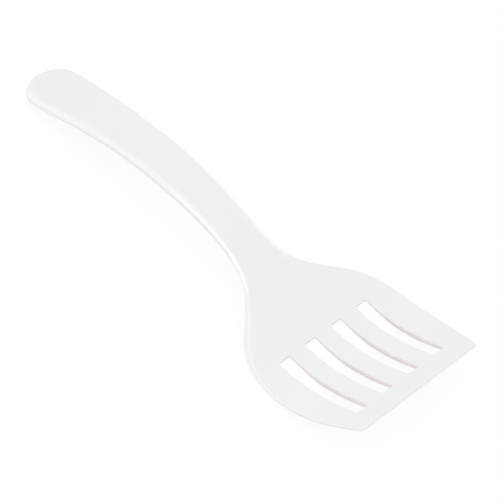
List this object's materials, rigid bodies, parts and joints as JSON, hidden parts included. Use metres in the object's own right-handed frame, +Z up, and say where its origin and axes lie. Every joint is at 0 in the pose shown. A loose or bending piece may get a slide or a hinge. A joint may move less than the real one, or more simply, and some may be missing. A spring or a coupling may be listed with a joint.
{
  "type": "slotted spatula",
  "caption": "White moulded kitchen spatula with a broad arched handle, a narrow neck and a wide, upturned slotted blade with a straight front edge.",
  "frame": {"origin": "on the table, under the middle of the length and on the middle line of the width", "axes": "+X along the spatula from the handle to the front edge, +Y to the left of a hand that holds it, +Z up, as it lies on a table"},
  "size_m": [0.259, 0.0858, 0.0249],
  "materials": {
    "moulded_plastic": "smooth, softly glossy, opaque white"
  },
  "bodies": {
    "root": {"front_edge": "moulded_plastic", "left_outer_bar": "moulded_plastic", "left_inner_bar": "moulded_plastic", "middle_bar": "moulded_plastic", "right_inner_bar": "moulded_plastic", "right_outer_bar": "moulded_plastic", "blade_shoulder": "moulded_plastic", "neck": "moulded_plastic", "handle": "moulded_plastic", "handle_end": "moulded_plastic"}
  },
  "joints": []
}
